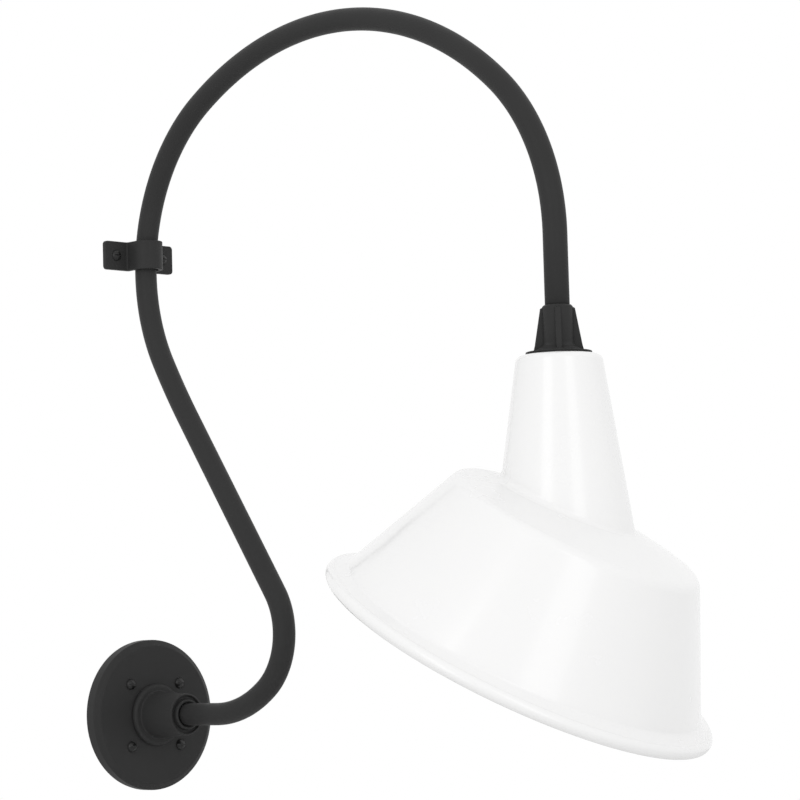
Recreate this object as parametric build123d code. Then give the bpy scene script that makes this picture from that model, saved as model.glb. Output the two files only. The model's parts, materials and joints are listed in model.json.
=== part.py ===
from build123d import *
import os
from math import atan, cos, degrees, pi, radians, sin, sqrt, tan

# Gooseneck wall sconce. Millimetres, +Z up. The wall is the plane y = 0 and the light
# stands out of it along -Y. The origin is the centre of the wall plate's back.
# Most sections are drawn in the side plane as (out, up): out is the distance from the wall.

# ---------------------------------------------------------------- driving dimensions
# wall plate, on a round junction box
plate_dia = 152.4
plate_depth = 14.4
plate_face_wall = 4.0
plate_rim_wall = 6.0
plate_chamfer_out = 4.0
plate_chamfer_in = 6.2
gasket_thick = 1.6
gasket_set_back = 0.4
screw_circle_dia = 88.9
plate_screw_count = 4
plate_screw_first_angle = 45.0
boss_dia = 12.0
boss_set_back = 0.8

# dome-head slotted screws
plate_screw_head_dia = 11.4
plate_screw_head_high = 4.4
plate_screw_neck_dia = 3.8
plate_screw_thread_dia = 4.17
plate_screw_reach = 9.0
strap_screw_head_dia = 11.4
strap_screw_head_high = 4.2
strap_screw_neck_dia = 4.0
strap_screw_thread_dia = 4.8
strap_screw_reach = 12.0
slot_width = 1.5
slot_depth = 1.9
screw_hole_gap = 0.4

# ground screw on the back of the plate
ground_screw_dia = 4.0
ground_head_dia = 8.6
ground_head_high = 2.2
ground_head_edge = 0.5
ground_slot = 1.2
ground_screw_past = 0.6
ground_boss_dia = 9.0
ground_boss_high = 4.5
ground_screw_up = 52.0

# hub between plate and arm
hub_bead_dia = 62.6
hub_bead_high = 6.4
hub_bead_round = 3.0
hub_root_round = 1.2
hub_root_dia = 47.7
hub_nose_dia = 41.6
hub_length = 50.5
hub_lip_wall = 1.8
hub_recess = 2.6
spigot_dia = 34.0
spigot_length = 9.6
locknut_flats = 44.0
locknut_thick = 4.0
locknut_edge = 1.5
collar_dia = 31.0
collar_seat = 8.0
collar_stand = 5.0
collar_round = 1.6
collar_mouth_dia = 27.0
collar_mouth_deep = 2.6
set_screw_dia = 5.0
set_screw_length = 7.0
set_screw_edge = 0.4
set_screw_key_share = 0.4
hub_set_screw_out = 24.0

# bent arm tube
tube_dia = 22.2
tube_wall = 1.5
tube_start = 20.0
exit_run = 114.0
sweep_radius = 131.0
sweep_angle = 35.6
bend_radius = 67.0
lean_angle = 125.2
ease_radius = 800.0
ease_angle = 120.0
back_radius = 188.4
back_angle = 30.7
back_from_wall = 14.7
top_radius = 360.0
top_angle = -42.2
front_radius = 201.5
end_drop = 92.5
slip_fit = 0.05
turn_fit = 0.08

# wires in the arm
wire_dia = 2.8
wire_pitch = 3.2
bushing_length = 9.0
bushing_lip = 1.2
bare_length = 4.0
bare_dia = 1.2

# wall strap
strap_high = 29.5
strap_wide = 88.0
strap_thick = 4.4
strap_screw_spacing = 60.0
strap_above = 18.0
strap_gap = 0.25
strap_corner = 3.0

# ribbed socket cap on the arm's end
cap_grip = 28.0
cap_web = 15.0
cap_dia = 27.6
cap_flange_dia = 59.2
cap_flange_thick = 2.4
cap_flare = 4.6
cap_crown = 1.6
rib_count = 4
rib_thick = 4.8
rib_top_reach = 15.5
rib_foot_reach = 21.2
rib_foot_flare = 1.5
rib_top_drop = 3.0
cap_wire_bore = 14.0
cap_spigot_dia = 32.0
cap_spigot_length = 15.5
cap_screw_up = 12.0
cap_screw_proud = 1.5
tip_gap = 0.3
cap_gasket_thick = 1.5
cap_gasket_set_in = 0.8

# angle shade, enamelled steel
shade_turn = 18.0
shade_thick = 1.2
neck_top_dia = 76.4
neck_slope = 8.6
neck_run = 190.0
neck_corner = 7.0
neck_fillet = 7.0
bowl_tilt = 29.5
rim_drop = 262.3
rim_back = 48.4
rim_dia = 374.6
bead_dia = 12.4
lip_width = 15.8
lip_high = 11.5
lip_corner = 6.0
rim_ring_high = 34.5
shoulder_dia = 234.6
shoulder_high = 126.2
shoulder_slope = 12.4
shoulder_corner = 13.0
shade_nut_dia = 46.0
shade_nut_thick = 5.0
shade_nut_edge = 1.0
shade_nut_notches = 8
shade_nut_notch = 4.0

# socket and bulb, medium screw base
socket_dia = 47.0
socket_length = 54.0
socket_top_wall = 26.0
socket_round = 2.5
socket_edge = 2.0
screw_base_dia = 26.1
screw_base_length = 23.0
base_gap = 0.3
shell_wall = 0.6
contact_wide = 7.0
contact_thick = 0.8
contact_round = 1.5
shell_end_gap = 2.0
socket_screw_dia = 4.0
socket_screw_circle = 23.0
socket_screw_hole_deep = 9.0
socket_screw_end_gap = 1.0
socket_head_dia = 7.2
socket_head_high = 3.0
socket_head_gap = 0.4
socket_head_room_dia = 8.0
small_slot = 1.0
small_slot_deep = 0.9
terminal_dia = 4.0
terminal_head_dia = 7.4
terminal_head_high = 2.2
terminal_down = 14.0
thread_count = 5
thread_pitch = 3.629
thread_deep = 0.7
thread_round_r = 1.1
first_thread_down = 5.0
base_round = 2.0
insulator_high = 3.0
insulator_edge = 3.0
bulb_contact_dia = 9.6
bulb_contact_high = 1.4
bulb_contact_round = 1.1
housing_high = 38.0
housing_dia = 58.0
housing_collar_high = 6.0
housing_collar_wall = 1.2
housing_collar_flare = 1.2
housing_collar_inner = 2.0
housing_band_high = 3.0
housing_wall = 3.0
globe_dia = 60.0
globe_wall = 1.2
globe_high = 45.0
globe_least_straight = 0.5
board_thick = 1.6
chip_count = 8
chip_size = 3.0
chip_high = 0.8

# ---------------------------------------------------------------- worked-out places
tube_r = tube_dia / 2
plate_face = gasket_thick + plate_depth
plate_hollow = plate_face - plate_face_wall
hub_nose = plate_face + hub_length
side = Plane(origin=(0, 0, 0), x_dir=(0, -1, 0), z_dir=(-1, 0, 0))


def sine(angle):
    return sin(radians(angle))


# the diagonal is as long as it takes to bring the back arc to its distance from the wall
bend_out = exit_run + sweep_radius * sine(sweep_angle) + bend_radius * (sine(lean_angle) - sine(sweep_angle))
turn_in = ease_radius * (sine(ease_angle) - sine(lean_angle)) + back_radius * (1 - sine(ease_angle))
diagonal_run = (bend_out - turn_in - back_from_wall) / -cos(radians(lean_angle))


def arm_edges(first_out):
    """The arm's centreline in the side plane: runs joined by tangent arcs, from first_out."""
    run_out = Line((first_out, 0), (exit_run, 0))
    first_bend = JernArc(run_out @ 1, run_out % 1, sweep_radius, sweep_angle)
    bend = JernArc(first_bend @ 1, first_bend % 1, bend_radius, lean_angle - sweep_angle)
    diagonal = Line(bend @ 1, bend @ 1 + (bend % 1) * diagonal_run)
    ease = JernArc(diagonal @ 1, diagonal % 1, ease_radius, ease_angle - lean_angle)
    back = JernArc(ease @ 1, ease % 1, back_radius, back_angle - ease_angle)
    top = JernArc(back @ 1, back % 1, top_radius, top_angle - back_angle)
    front = JernArc(top @ 1, top % 1, front_radius, -90 - top_angle)
    drop = Line(front @ 1, front @ 1 + (front % 1) * end_drop)
    return [run_out, first_bend, bend, diagonal, ease, back, top, front, drop]


arm_line = arm_edges(tube_start)
back_arc = arm_line[5]
arm_reach = (arm_line[-1] @ 1).X
arm_end = (arm_line[-1] @ 1).Y

# the back arc's centre gives how far the tube stands from the wall at any height
back_centre_out = back_from_wall + back_radius
back_centre_up = (back_arc @ 0).Y - back_radius * cos(radians(ease_angle))
strap_up = back_centre_up + strap_above
strap_upper_edge = strap_above + strap_high / 2
strap_tube_out = back_centre_out - sqrt(back_radius ** 2 - strap_upper_edge ** 2)
strap_inner_r = tube_r + strap_gap
strap_outer_r = strap_inner_r + strap_thick

# levels of the head, from the arm's end
cap_top = arm_end + cap_grip
flange_base = arm_end - cap_web
neck_top = flange_base - cap_gasket_thick
spigot_base = flange_base - cap_spigot_length
socket_base = spigot_base - socket_length
well_top = spigot_base - socket_top_wall
base_r = screw_base_dia / 2
shell_r = base_r + base_gap + shell_wall
bulb_tip_up = well_top - contact_thick - base_gap
socket_head_top = well_top + socket_head_gap + socket_head_high
lead_offset = wire_pitch
lead_base = spigot_base - terminal_down - terminal_dia / 2
terminal_depth = socket_dia / 2 - lead_offset - wire_dia / 2
base_top = bulb_tip_up - bulb_contact_high - insulator_high
base_end = base_top - screw_base_length
housing_end = base_end - housing_high


# ---------------------------------------------------------------- helpers
def rod(radius, low, high):
    """A round bar along +Z, between two heights."""
    return Pos(0, 0, low) * Cylinder(radius, high - low, align=(Align.CENTER, Align.CENTER, Align.MIN))


def out_rod(radius, near, far, x=0.0, up=0.0):
    """A round bar square to the wall, between two distances from it."""
    return Pos(x, -near, up) * Rot(90, 0, 0) * rod(radius, 0, far - near)


def turned(points, axis=Axis.Y):
    """A body of revolution from a section in the side plane, about the wall's normal."""
    return revolve(side * make_face(Polyline(*points, close=True)), axis)


def on_head(shape):
    """Puts a piece that was drawn about the Z axis on the arm's end, turned with the shade."""
    return Pos(0, -arm_reach, 0) * Rot(0, 0, shade_turn) * shape


def slotted_screw(head_dia, head_high, neck_dia, thread_dia, face_out, reach):
    """A dome-head screw square to the wall: its thread starts at the wall and goes into it."""
    head_r = head_dia / 2
    dome = Sphere((head_r ** 2 + head_high ** 2) / (2 * head_high))
    dome_centre = face_out + head_high - (head_r ** 2 + head_high ** 2) / (2 * head_high)
    head = Pos(0, -dome_centre, 0) * dome & out_rod(head_r, face_out, face_out + head_high)
    slot_out = face_out + head_high - slot_depth / 2
    slot = Pos(0, -slot_out, 0) * Box(head_dia, slot_depth, slot_width)
    neck = out_rod(neck_dia / 2, 0, face_out)
    thread = out_rod(thread_dia / 2, thread_dia - reach, 0)
    tip = Pos(0, reach - thread_dia, 0) * Rot(-90, 0, 0) * Pos(0, 0, thread_dia / 2) * Cone(
        thread_dia / 2, thread_dia / 4, thread_dia)
    return head - slot + neck + thread + tip


def grub_screw(length):
    """A socket set screw along +Z, its flat tip at the origin and its key socket on top."""
    body = chamfer(rod(set_screw_dia / 2, 0, length).edges().group_by(Axis.Z)[-1], set_screw_edge)
    key = Pos(0, 0, length) * extrude(RegularPolygon(set_screw_dia / 4, 6), -length * set_screw_key_share)
    return body - key


def circle_places(count, dia, first):
    """Places evenly round a circle, as (x, up) pairs."""
    turns = [radians(first + 360 * k / count) for k in range(count)]
    return [(dia / 2 * cos(t), dia / 2 * sin(t)) for t in turns]


# ---------------------------------------------------------------- wall plate and hub
plate_screw_places = circle_places(plate_screw_count, screw_circle_dia, plate_screw_first_angle)


def wall_plate():
    rim_r = plate_dia / 2
    hollow_r = rim_r - plate_rim_wall
    face = plate_face
    shell = turned([
        (gasket_thick, hollow_r), (gasket_thick, rim_r), (face - plate_chamfer_out, rim_r),
        (face, rim_r - plate_chamfer_in), (face, 0), (plate_hollow, 0), (plate_hollow, hollow_r)])
    for x, up in plate_screw_places:
        shell += out_rod(boss_dia / 2, gasket_thick + boss_set_back, plate_hollow, x, up)
    shell += out_rod(ground_boss_dia / 2, plate_hollow - ground_boss_high, plate_hollow, 0, ground_screw_up)
    shell -= out_rod(spigot_dia / 2 + slip_fit, 0, face)
    for x, up in plate_screw_places:
        shell -= out_rod(plate_screw_neck_dia / 2 + screw_hole_gap, 0, face, x, up)
    ground_hole_end = plate_hollow + ground_screw_past
    shell -= out_rod(ground_screw_dia / 2 + slip_fit, 0, ground_hole_end, 0, ground_screw_up)
    return shell


def plate_gasket():
    outer = plate_dia / 2 - gasket_set_back
    inner = plate_dia / 2 - plate_rim_wall
    return out_rod(outer, 0, gasket_thick) - out_rod(inner, 0, gasket_thick)


def plate_screws():
    one = slotted_screw(plate_screw_head_dia, plate_screw_head_high, plate_screw_neck_dia,
                        plate_screw_thread_dia, plate_face, plate_screw_reach)
    return [Pos(x, 0, up) * one for x, up in plate_screw_places]


def ground_screw():
    seat = plate_hollow - ground_boss_high
    head = out_rod(ground_head_dia / 2, seat - ground_head_high, seat)
    head = chamfer(head.edges().group_by(Axis.Y)[-1], ground_head_edge)
    slot = Pos(0, -(seat - ground_head_high), 0) * Box(ground_head_dia, ground_slot, ground_slot)
    shank = out_rod(ground_screw_dia / 2, seat, plate_hollow + ground_screw_past)
    return Pos(0, 0, ground_screw_up) * (head - slot + shank)


def plate_hub():
    root_out = plate_face + hub_bead_high
    nose_r = hub_nose_dia / 2
    bead = out_rod(hub_bead_dia / 2, plate_face, root_out)
    bead = fillet(bead.edges().group_by(Axis.Y)[0], hub_bead_round)
    body = turned([
        (plate_face, 0), (plate_face, hub_root_dia / 2), (root_out, hub_root_dia / 2),
        (hub_nose, nose_r), (hub_nose, 0)])
    body = fillet(body.edges().group_by(Axis.Y)[0], hub_root_round)
    recess = out_rod(nose_r - hub_lip_wall, hub_nose - hub_recess, hub_nose)
    spigot = out_rod(spigot_dia / 2, plate_face - spigot_length, plate_face)
    hub = bead + body + spigot - recess
    hub -= out_rod(collar_dia / 2 + slip_fit, hub_nose - hub_recess - collar_seat, hub_nose)
    hub -= out_rod(tube_r + slip_fit, tube_start, hub_nose)
    hub -= out_rod(tube_r - tube_wall, 0, tube_start)
    hole = Pos(0, -(plate_face + hub_set_screw_out), -tube_r) * Rot(180, 0, 0)
    return hub - hole * rod(set_screw_dia / 2 + slip_fit, 0, hub_root_dia / 2)


def hub_set_screw():
    place = Pos(0, -(plate_face + hub_set_screw_out), -(tube_r + slip_fit)) * Rot(180, 0, 0)
    return place * grub_screw(set_screw_length)


def hub_locknut():
    back = plate_hollow - locknut_thick
    plane = Plane(origin=(0, -back, 0), x_dir=(1, 0, 0), z_dir=(0, -1, 0))
    corner_r = locknut_flats / 2 / cos(radians(30))
    nut = extrude(plane * RegularPolygon(corner_r, 6), locknut_thick)
    nut &= turned([(back, 0), (back, corner_r - locknut_edge), (back + locknut_edge, corner_r),
                   (plate_hollow, corner_r), (plate_hollow, 0)])
    return nut - out_rod(spigot_dia / 2 + slip_fit, back, plate_hollow)


def hub_collar():
    near = hub_nose - hub_recess - collar_seat
    far = hub_nose - hub_recess + collar_stand
    ring = out_rod(collar_dia / 2, near, far)
    ring = fillet(ring.edges().group_by(Axis.Y)[0], collar_round)
    bore_r = tube_r + slip_fit
    bore = turned([(near, 0), (near, bore_r), (far - collar_mouth_deep, bore_r),
                   (far, collar_mouth_dia / 2), (far, 0)])
    return ring - bore


# ---------------------------------------------------------------- arm and its wires
def swept(section_radius, edges, inner_radius=None):
    """A round bar or tube along edges of the side plane."""
    path = side * Wire(edges)
    plane = Plane(origin=path @ 0, z_dir=path % 0)
    section = Circle(section_radius)
    if inner_radius is not None:
        section -= Circle(inner_radius)
    return sweep(plane * section, path=path)


def gooseneck_arm():
    return swept(tube_r, arm_line, tube_r - tube_wall)


def arm_wire(x):
    """One insulated conductor through the arm, with a stripped tip behind the hub."""
    lower_end = plate_face - spigot_length
    covered = swept(wire_dia / 2, arm_edges(lower_end))
    bare = out_rod(bare_dia / 2, lower_end - bare_length, lower_end)
    return Pos(x, 0, 0) * (covered + bare)


def wire_bushing(start):
    """A plastic grommet drawn about +Z that keeps the wires off the tube's cut edge."""
    bore_r = tube_r - tube_wall
    plug = rod(bore_r - slip_fit, start, start + bushing_length)
    plug -= rod(wire_pitch, start, start + bushing_length)
    return plug


def arm_bushings():
    upper = Pos(0, -arm_reach, arm_end) * wire_bushing(bushing_lip)
    lower = Pos(0, -tube_start, 0) * Rot(90, 0, 0) * wire_bushing(bushing_lip)
    return [lower, upper]


# ---------------------------------------------------------------- wall strap
def wall_strap():
    """A cast strap over the arm: two feet on the wall and a round arch between them."""
    level = Plane(origin=(0, 0, strap_up - strap_high / 2), x_dir=(1, 0, 0), z_dir=(0, 0, 1))
    leg = strap_tube_out / 2
    arch = Pos(0, -strap_tube_out) * Circle(strap_outer_r)
    arch += Pos(0, -leg) * Rectangle(2 * strap_outer_r, strap_tube_out)
    feet = Pos(0, -strap_thick / 2) * Rectangle(strap_wide, strap_thick)
    room = Pos(0, -strap_tube_out) * Circle(strap_inner_r)
    room += Pos(0, -leg) * Rectangle(2 * strap_inner_r, strap_tube_out)
    strap = extrude(level * (arch + feet), strap_high)
    upright = strap.edges().filter_by(Axis.Z)
    inside_corners = [e for e in upright if abs(abs(e.center().X) - strap_outer_r) < 0.01]
    strap = fillet(inside_corners, strap_corner)
    corners = [e for e in strap.edges().filter_by(Axis.Y) if abs(e.center().X) > strap_wide / 2 - 0.01]
    strap = fillet(corners, strap_corner)
    strap -= extrude(level * room, strap_high)
    for x in (-strap_screw_spacing / 2, strap_screw_spacing / 2):
        strap -= out_rod(strap_screw_neck_dia / 2 + screw_hole_gap, 0, strap_thick, x, strap_up)
    return strap


def strap_screws():
    one = slotted_screw(strap_screw_head_dia, strap_screw_head_high, strap_screw_neck_dia,
                        strap_screw_thread_dia, strap_thick, strap_screw_reach)
    return [Pos(x, 0, strap_up) * one for x in (-strap_screw_spacing / 2, strap_screw_spacing / 2)]


# ---------------------------------------------------------------- socket cap
cap_screw_place = Rot(0, 0, -shade_turn) * Pos(0, tube_r + tip_gap, arm_end + cap_screw_up) * Rot(-90, 0, 0)


def socket_cap():
    """Drawn about +Z: a round body with ribs on a thin flared flange, and a spigot below."""
    flange_r = cap_flange_dia / 2
    flare_top = flange_base + cap_flange_thick + cap_flare
    body_r = cap_dia / 2
    profile = make_face(Polyline(
        (0, flange_base), (flange_r, flange_base), (flange_r, flange_base + cap_flange_thick / 2),
        (rib_foot_reach, flange_base + cap_flange_thick), (body_r, flare_top),
        (body_r, cap_top - cap_crown), (body_r - cap_crown, cap_top), (0, cap_top), close=True))
    cap = revolve(Plane.XZ * profile, Axis.Z)
    rib = make_face(Polyline(
        (0, flange_base + cap_flange_thick / 2),
        (rib_foot_reach + rib_foot_flare, flange_base + cap_flange_thick / 2),
        (rib_foot_reach, flare_top), (rib_top_reach, cap_top - rib_top_drop),
        (0, cap_top - rib_top_drop), close=True))
    rib_plate = extrude(Plane.XZ * rib, rib_thick / 2, both=True)
    for k in range(rib_count):
        cap += Rot(0, 0, 45 - shade_turn + 360 * k / rib_count) * rib_plate
    cap += rod(cap_spigot_dia / 2, spigot_base, flange_base)
    cap -= rod(tube_r + turn_fit, arm_end - tip_gap, cap_top)
    cap -= rod(cap_wire_bore / 2, spigot_base, arm_end)
    screw_hole = rod(socket_screw_dia / 2 + slip_fit, spigot_base, spigot_base + socket_screw_hole_deep)
    for x in (-socket_screw_circle / 2, socket_screw_circle / 2):
        cap -= Pos(x, 0, 0) * screw_hole
    return cap - cap_screw_place * rod(set_screw_dia / 2 + slip_fit, -tip_gap, cap_dia)


def cap_set_screw():
    return cap_screw_place * grub_screw(cap_dia / 2 - tube_r + cap_screw_proud)


def cap_gasket():
    ring = rod(cap_flange_dia / 2 - cap_gasket_set_in, neck_top, flange_base)
    return ring - rod(cap_spigot_dia / 2 + slip_fit, neck_top, flange_base)


# ---------------------------------------------------------------- shade
def bowl_place():
    """Where the bowl's own axis stands: it leans out of the neck, so the mouth faces the wall."""
    return Pos(0, rim_back, neck_top - rim_drop) * Rot(bowl_tilt, 0, 0)


wall_slope_tan = (rim_dia - 2 * lip_width - shoulder_dia) / 2 / (shoulder_high - lip_high)
wall_foot_r = rim_dia / 2 - lip_width + lip_high * wall_slope_tan
bead_r = bead_dia / 2
bead_centre = rim_dia / 2 - bead_r


def shade_form(inset):
    """The filled shape of neck and bowl, drawn in by inset: the shell is one less the other."""
    wall_foot = wall_foot_r - inset / cos(atan(wall_slope_tan))
    crown = shoulder_high + shoulder_dia / 2 * tan(radians(shoulder_slope))
    crown -= inset / cos(radians(shoulder_slope))
    corner_r = (wall_foot - crown * wall_slope_tan) / (1 - wall_slope_tan * tan(radians(shoulder_slope)))
    corner_high = crown - corner_r * tan(radians(shoulder_slope))
    section = make_face(Polyline(
        (0, 0), (wall_foot, 0), (corner_r, corner_high), (0, crown), close=True))
    bowl = revolve(Plane.XZ * section, Axis.Z)
    bowl = fillet(bowl.edges().filter_by(GeomType.CIRCLE).sort_by(Axis.Z)[-1], shoulder_corner - inset)
    top_r = neck_top_dia / 2 - inset / cos(radians(neck_slope))
    foot_r = top_r + (neck_run - inset) * tan(radians(neck_slope))
    neck_section = make_face(Polyline(
        (0, neck_top - neck_run), (foot_r, neck_top - neck_run),
        (top_r, neck_top - inset), (0, neck_top - inset), close=True))
    neck = revolve(Plane.XZ * neck_section, Axis.Z)
    neck = fillet(neck.edges().filter_by(GeomType.CIRCLE).sort_by(Axis.Z)[-1], neck_corner - inset)
    form = bowl_place() * bowl + neck
    joint = form.edges().filter_by(GeomType.BSPLINE)
    return fillet(joint, neck_fillet + inset)


def rim_ring():
    """The foot of the bowl's wall, the flared lip and the rolled bead, as one turned ring."""
    across = shade_thick / cos(atan(wall_slope_tan))
    lip_r = rim_dia / 2 - lip_width
    top_r = lip_r - (rim_ring_high - lip_high) * wall_slope_tan
    section = make_face(Polyline(
        (top_r, rim_ring_high), (lip_r, lip_high), (bead_centre, bead_r),
        (bead_centre, bead_r - shade_thick), (lip_r - across, lip_high - shade_thick),
        (top_r - across, rim_ring_high), close=True))
    inner_bends = section.vertices().sort_by_distance((lip_r, lip_high))[0:2]
    section = fillet(inner_bends, lip_corner)
    ring = section + Pos(bead_centre, 0) * Circle(bead_r)
    return revolve(Plane.XZ * ring, Axis.Z)


def shade():
    shell = shade_form(0) - shade_form(shade_thick)
    below = bowl_place() * Pos(0, 0, rim_ring_high - rim_dia) * Box(2 * rim_dia, 2 * rim_dia, 2 * rim_dia)
    shell -= below
    shell -= rod(cap_spigot_dia / 2 + slip_fit, neck_top - neck_corner, neck_top + 1)
    return shell + bowl_place() * rim_ring()


def shade_locknut():
    high = neck_top - shade_thick
    nut = rod(shade_nut_dia / 2, high - shade_nut_thick, high)
    nut = chamfer(nut.edges().group_by(Axis.Z)[0], shade_nut_edge)
    nut -= rod(cap_spigot_dia / 2 + slip_fit, high - shade_nut_thick, high)
    notch = Pos(shade_nut_dia / 2, 0, high - shade_nut_thick / 2) * Box(
        shade_nut_notch, shade_nut_notch, shade_nut_thick)
    for k in range(shade_nut_notches):
        nut -= Rot(0, 0, 360 * k / shade_nut_notches) * notch
    return nut


# ---------------------------------------------------------------- socket
def socket_body():
    body = rod(socket_dia / 2, socket_base, spigot_base)
    body = fillet(body.edges().group_by(Axis.Z)[0], socket_round)
    body = chamfer(body.edges().group_by(Axis.Z)[-1], socket_edge)
    body -= rod(shell_r + slip_fit, socket_base, well_top)
    for x in (-socket_screw_circle / 2, socket_screw_circle / 2):
        body -= Pos(x, 0, 0) * rod(socket_screw_dia / 2 + slip_fit, well_top, spigot_base)
        body -= Pos(x, 0, 0) * rod(socket_head_room_dia / 2, well_top, socket_head_top + socket_head_gap)
    for y in (-lead_offset, lead_offset):
        body -= Pos(0, y, 0) * rod(wire_dia / 2 + slip_fit, lead_base, spigot_base)
    for turn in (0, 180):
        hole = Rot(0, 0, turn) * Pos(0, -socket_dia / 2, spigot_base - terminal_down) * Rot(-90, 0, 0)
        body -= hole * rod(terminal_dia / 2 + slip_fit, 0, terminal_depth)
    return body


def socket_screws():
    low = socket_head_top - socket_head_high
    head = rod(socket_head_dia / 2, low, socket_head_top)
    head -= Pos(0, 0, low) * Box(socket_head_dia, small_slot, 2 * small_slot_deep)
    screw_end = spigot_base + socket_screw_hole_deep - socket_screw_end_gap
    screw = head + rod(socket_screw_dia / 2, socket_head_top, screw_end)
    return [Pos(x, 0, 0) * screw for x in (-socket_screw_circle / 2, socket_screw_circle / 2)]


def terminal_screws():
    reach = terminal_depth
    shank = rod(terminal_dia / 2, 0, reach)
    head = rod(terminal_head_dia / 2, -terminal_head_high, 0)
    head -= Pos(0, 0, -terminal_head_high) * Box(terminal_head_dia, small_slot, 2 * small_slot_deep)
    screw = Pos(0, -socket_dia / 2, spigot_base - terminal_down) * Rot(-90, 0, 0) * (head + shank)
    return [screw, Rot(0, 0, 180) * screw]


def socket_shell():
    """The brass screw shell, with an inward rim that hangs it in the porcelain."""
    low = well_top - screw_base_length - shell_end_gap
    shell = rod(shell_r, low, well_top) - rod(shell_r - shell_wall, low, well_top - shell_wall)
    return shell - rod(contact_wide, well_top - shell_wall, well_top)


def socket_contact():
    """The spring tongue in the middle of the well, that the bulb's tip presses on."""
    tongue = Box(contact_wide, contact_wide, contact_thick, align=(Align.CENTER, Align.CENTER, Align.MAX))
    return Pos(0, 0, well_top) * fillet(tongue.edges().filter_by(Axis.Z), contact_round)


def socket_lead(y):
    return Pos(0, y, 0) * rod(wire_dia / 2, lead_base, arm_end - 2 * tip_gap)


# ---------------------------------------------------------------- bulb
def bulb_contact():
    """The solder tip and its glass insulator, which stay on the bulb's axis."""
    tip = rod(bulb_contact_dia / 2, bulb_tip_up - bulb_contact_high, bulb_tip_up)
    tip = fillet(tip.edges().group_by(Axis.Z)[-1], bulb_contact_round)
    foot_r = base_r - insulator_edge
    cone = Pos(0, 0, base_top + insulator_high / 2) * Cone(foot_r, bulb_contact_dia / 2, insulator_high)
    return [tip, cone]


def bulb_cap():
    """The screw base: a thin brass cup with rounded thread rings."""
    cup = rod(base_r - thread_deep, base_end, base_top)
    cup = fillet(cup.edges().group_by(Axis.Z)[-1], base_round)
    first = base_top - first_thread_down
    for k in range(thread_count):
        cup += Pos(0, 0, first - k * thread_pitch) * Torus(base_r - thread_round_r, thread_round_r)
    cup -= rod(base_r - thread_deep - shell_wall, base_end, base_top - shell_wall)
    return cup


def bulb_housing():
    """The lamp's moulded body, flaring from the screw base to the globe."""
    outer_r = housing_dia / 2
    inner_r = outer_r - housing_wall
    collar_r = base_r + housing_collar_wall
    collar_inner_r = base_r - housing_collar_inner
    collar_end = base_end - housing_collar_high
    band_top = housing_end + housing_band_high
    flare = make_face(Polyline(
        (0, base_end), (collar_r, base_end), (collar_r + housing_collar_flare, collar_end),
        (outer_r, band_top), (outer_r, housing_end), (0, housing_end), close=True))
    body = revolve(Plane.XZ * flare, Axis.Z)
    hollow = make_face(Polyline(
        (0, base_end), (collar_inner_r, base_end), (collar_inner_r + housing_collar_flare, collar_end),
        (inner_r, band_top), (inner_r, housing_end), (0, housing_end), close=True))
    return body - revolve(Plane.XZ * hollow, Axis.Z)


def bulb_globe():
    """The frosted diffuser: a thin dome on the housing."""
    outer_r = globe_dia / 2
    outer = Pos(0, 0, housing_end) * scaled_dome(outer_r, globe_high)
    inner = Pos(0, 0, housing_end) * scaled_dome(outer_r - globe_wall, globe_high - globe_wall)
    return outer - inner


def scaled_dome(radius, high):
    """A half round dome that hangs below the origin, radius wide and high deep."""
    straight = max(high - radius, globe_least_straight)
    section = Polyline((0, 0), (radius, 0), (radius, -straight)) + ThreePointArc(
        (radius, -straight), (radius * sin(radians(45)), -straight - radius * cos(radians(45))),
        (0, -straight - radius)) + Line((0, -straight - radius), (0, 0))
    return revolve(Plane.XZ * make_face(section), Axis.Z)


def led_board():
    """The aluminium disc with its ring of chips, across the housing's mouth."""
    board_r = housing_dia / 2 - housing_wall - slip_fit
    board = rod(board_r, housing_end, housing_end + board_thick)
    for x, y in circle_places(chip_count, board_r, 0):
        board += Pos(x, y, housing_end - chip_high / 2) * Box(chip_size, chip_size, chip_high)
    return board


# ---------------------------------------------------------------- all pieces
on_wall = {
    "wall_plate": wall_plate(),
    "plate_gasket": plate_gasket(),
    "plate_screws": plate_screws(),
    "ground_screw": ground_screw(),
    "plate_hub": plate_hub(),
    "hub_set_screw": hub_set_screw(),
    "hub_locknut": hub_locknut(),
    "hub_collar": hub_collar(),
    "gooseneck_arm": gooseneck_arm(),
    "line_wire": arm_wire(-wire_pitch / 2),
    "neutral_wire": arm_wire(wire_pitch / 2),
    "arm_bushings": arm_bushings(),
    "wall_strap": wall_strap(),
    "strap_screws": strap_screws(),
}
on_arm_end = {
    "socket_cap": socket_cap(),
    "cap_set_screw": cap_set_screw(),
    "cap_gasket": cap_gasket(),
    "shade": shade(),
    "shade_locknut": shade_locknut(),
    "socket_body": socket_body(),
    "socket_screws": socket_screws(),
    "terminal_screws": terminal_screws(),
    "socket_shell": socket_shell(),
    "socket_contact": socket_contact(),
    "line_lead": socket_lead(-lead_offset),
    "neutral_lead": socket_lead(lead_offset),
    "bulb_contact": bulb_contact(),
    "bulb_cap": bulb_cap(),
    "bulb_housing": bulb_housing(),
    "bulb_globe": bulb_globe(),
    "led_board": led_board(),
}


def as_one(shape):
    """One compound from a piece or from a list of pieces."""
    pieces = shape if isinstance(shape, list) else [shape]
    return Compound(children=[solid for piece in pieces for solid in piece.solids()])


os.makedirs("parts", exist_ok=True)
for node, shape in on_wall.items():
    export_step(as_one(shape), f"parts/{node}.step")
for node, shape in on_arm_end.items():
    pieces = shape if isinstance(shape, list) else [shape]
    export_step(as_one([on_head(piece) for piece in pieces]), f"parts/{node}.step")

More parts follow.
